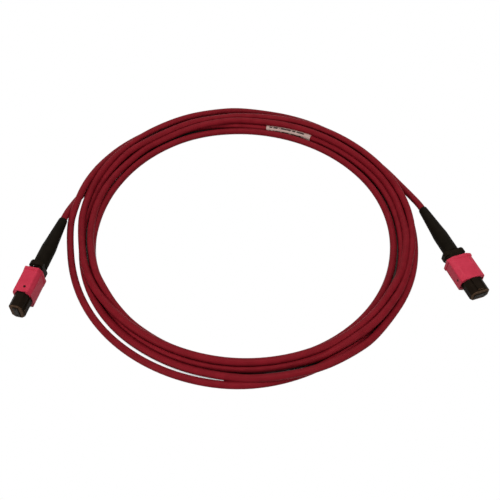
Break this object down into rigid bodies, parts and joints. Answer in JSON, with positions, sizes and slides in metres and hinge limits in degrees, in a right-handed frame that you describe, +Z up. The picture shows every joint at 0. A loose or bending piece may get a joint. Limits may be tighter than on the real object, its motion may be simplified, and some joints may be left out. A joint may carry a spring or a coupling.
{
  "type": "fibre optic patch cable",
  "caption": "Coiled round patch cable with a push-pull multi-fibre plug on each end: sliding sleeve, sprung ferrule, key ridge and tapered strain relief boot.",
  "frame": {"origin": "centre of the bounding box on the floor that the coil lies on", "axes": "+Z up from the floor, +X across the coil from one connector to the other, +Y away from the connectors' tips"},
  "size_m": [0.2243, 0.1866, 0.0131],
  "materials": {
    "jacket": "semi-matt crimson jacket",
    "label": "matt wrap film",
    "black_plastic": "moulded, fine grain",
    "magenta_plastic": "moulded, satin",
    "ferrule_plastic": "glass-filled, polished face",
    "keeper_plastic": "moulded",
    "inner_rubber": "soft, matt",
    "steel": "drawn wire",
    "crimp_metal": "plated",
    "boot_rubber": "smooth, satin",
    "ribbon": "clear coat"
  },
  "bodies": {
    "cable": {"cable_coil": "jacket", "cable_lead_left": "jacket", "cable_lead_right": "jacket", "marker_label": "label", "left_plug_frame": "black_plastic", "left_spring_push": "black_plastic", "left_crimp_ring": "crimp_metal", "left_strain_relief_boot": "boot_rubber", "left_fibre_ribbon": "ribbon", "left_cable_end": "jacket", "left_ferrule_spring": "steel", "left_sleeve_spring_1": "steel", "left_sleeve_spring_2": "steel", "right_plug_frame": "black_plastic", "right_spring_push": "black_plastic", "right_crimp_ring": "crimp_metal", "right_strain_relief_boot": "boot_rubber", "right_fibre_ribbon": "ribbon", "right_cable_end": "jacket", "right_ferrule_spring": "steel", "right_sleeve_spring_1": "steel", "right_sleeve_spring_2": "steel"},
    "left_sleeve": {"left_coupling_sleeve": "magenta_plastic"},
    "left_ferrule_group": {"left_ferrule": "ferrule_plastic", "left_pin_keeper": "keeper_plastic", "left_ferrule_boot": "inner_rubber"},
    "right_sleeve": {"right_coupling_sleeve": "magenta_plastic"},
    "right_ferrule_group": {"right_ferrule": "ferrule_plastic", "right_pin_keeper": "keeper_plastic", "right_ferrule_boot": "inner_rubber"}
  },
  "joints": [
    {"name": "left_sleeve_slide", "type": "slide", "parent": "cable", "child": "left_sleeve", "axis": [0.2156, 0.9765, 0], "range_m": [0, 0.0022], "stiffness_N_per_m": 700, "springref_m": -0.003, "deforming": ["left_sleeve_spring_1", "left_sleeve_spring_2"]},
    {"name": "left_ferrule_float", "type": "slide", "parent": "cable", "child": "left_ferrule_group", "axis": [0.2156, 0.9765, 0], "range_m": [0, 0.0008], "stiffness_N_per_m": 3000, "springref_m": -0.0025, "deforming": ["left_ferrule_spring", "left_fibre_ribbon"]},
    {"name": "right_sleeve_slide", "type": "slide", "parent": "cable", "child": "right_sleeve", "axis": [-0.3292, 0.9443, 0], "range_m": [0, 0.0022], "stiffness_N_per_m": 700, "springref_m": -0.003, "deforming": ["right_sleeve_spring_1", "right_sleeve_spring_2"]},
    {"name": "right_ferrule_float", "type": "slide", "parent": "cable", "child": "right_ferrule_group", "axis": [-0.3292, 0.9443, 0], "range_m": [0, 0.0008], "stiffness_N_per_m": 3000, "springref_m": -0.0025, "deforming": ["right_ferrule_spring", "right_fibre_ribbon"]}
  ]
}
